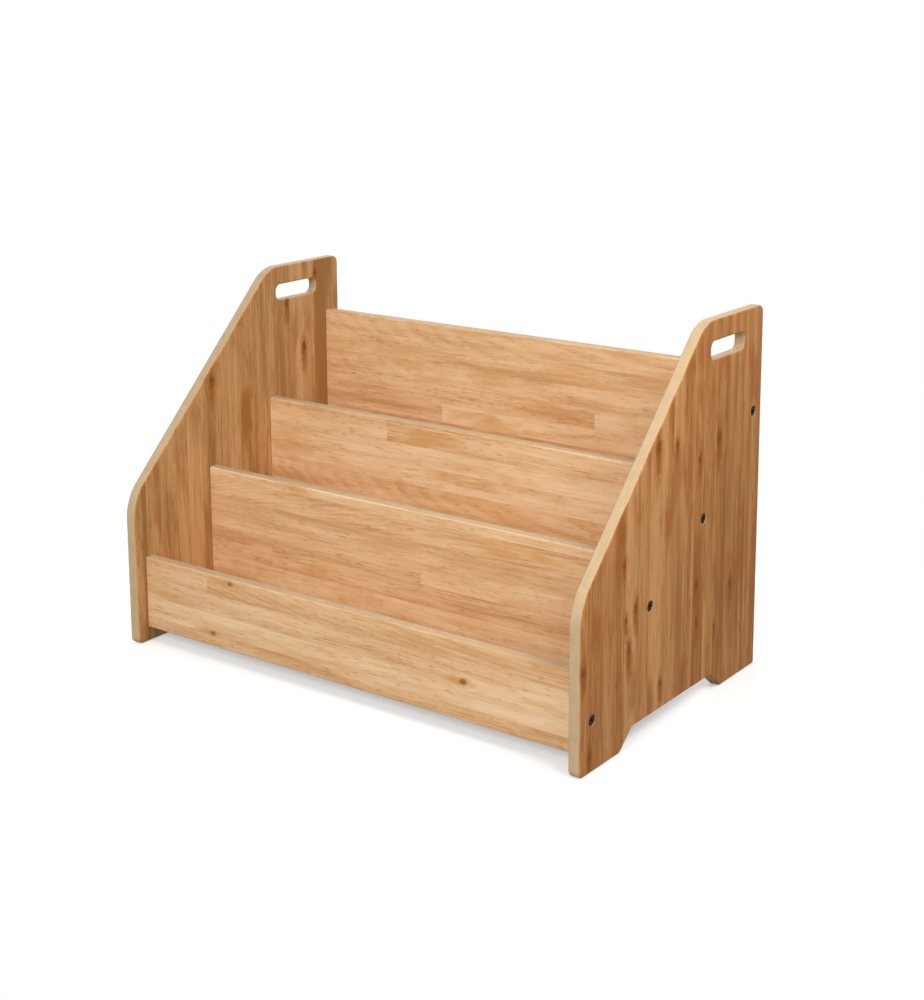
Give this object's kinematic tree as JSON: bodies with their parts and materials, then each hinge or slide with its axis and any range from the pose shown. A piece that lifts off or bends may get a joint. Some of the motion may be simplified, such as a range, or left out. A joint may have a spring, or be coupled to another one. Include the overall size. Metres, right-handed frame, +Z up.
{
  "type": "picture book browser bin",
  "caption": "Wooden floor-standing browser bin for picture books: side panels with hand slots and a sloping front carry stepped troughs between cross boards.",
  "frame": {"origin": "on the floor under the middle of the bin", "axes": "+X to the right as seen from the front, +Y towards the back, +Z up"},
  "size_m": [0.7, 0.414, 0.466],
  "materials": {
    "panel_wood": "clear satin lacquer",
    "board_wood": "clear satin lacquer",
    "shelf_wood": "clear satin lacquer",
    "dowel_wood": "bare",
    "bolt_steel": "dark bronze plate",
    "nut_steel": "zinc plate"
  },
  "bodies": {
    "root": {"left_side_panel": "panel_wood", "right_side_panel": "panel_wood", "front_board": "board_wood", "front_board_bolt_left": "bolt_steel", "front_board_nut_left": "nut_steel", "front_board_bolt_right": "bolt_steel", "front_board_nut_right": "nut_steel", "lower_divider": "board_wood", "lower_divider_bolt_left": "bolt_steel", "lower_divider_nut_left": "nut_steel", "lower_divider_bolt_right": "bolt_steel", "lower_divider_nut_right": "nut_steel", "upper_divider": "board_wood", "upper_divider_bolt_left": "bolt_steel", "upper_divider_nut_left": "nut_steel", "upper_divider_bolt_right": "bolt_steel", "upper_divider_nut_right": "nut_steel", "back_board": "board_wood", "back_board_bolt_left": "bolt_steel", "back_board_nut_left": "nut_steel", "back_board_bolt_right": "bolt_steel", "back_board_nut_right": "nut_steel", "lower_shelf": "shelf_wood", "middle_shelf": "shelf_wood", "upper_shelf": "shelf_wood", "front_board_dowel_left_top": "dowel_wood", "front_board_dowel_right_top": "dowel_wood", "front_board_dowel_left_bottom": "dowel_wood", "front_board_dowel_right_bottom": "dowel_wood", "lower_divider_dowel_left_top": "dowel_wood", "lower_divider_dowel_right_top": "dowel_wood", "lower_divider_dowel_left_bottom": "dowel_wood", "lower_divider_dowel_right_bottom": "dowel_wood", "upper_divider_dowel_left_top": "dowel_wood", "upper_divider_dowel_right_top": "dowel_wood", "upper_divider_dowel_left_bottom": "dowel_wood", "upper_divider_dowel_right_bottom": "dowel_wood", "back_board_dowel_left_top": "dowel_wood", "back_board_dowel_right_top": "dowel_wood", "back_board_dowel_left_bottom": "dowel_wood", "back_board_dowel_right_bottom": "dowel_wood", "lower_shelf_dowel_left_front": "dowel_wood", "lower_shelf_dowel_right_front": "dowel_wood", "lower_shelf_dowel_left_back": "dowel_wood", "lower_shelf_dowel_right_back": "dowel_wood", "middle_shelf_dowel_left_front": "dowel_wood", "middle_shelf_dowel_right_front": "dowel_wood", "middle_shelf_dowel_left_back": "dowel_wood", "middle_shelf_dowel_right_back": "dowel_wood", "upper_shelf_dowel_left_front": "dowel_wood", "upper_shelf_dowel_right_front": "dowel_wood", "upper_shelf_dowel_left_back": "dowel_wood", "upper_shelf_dowel_right_back": "dowel_wood"}
  },
  "joints": []
}
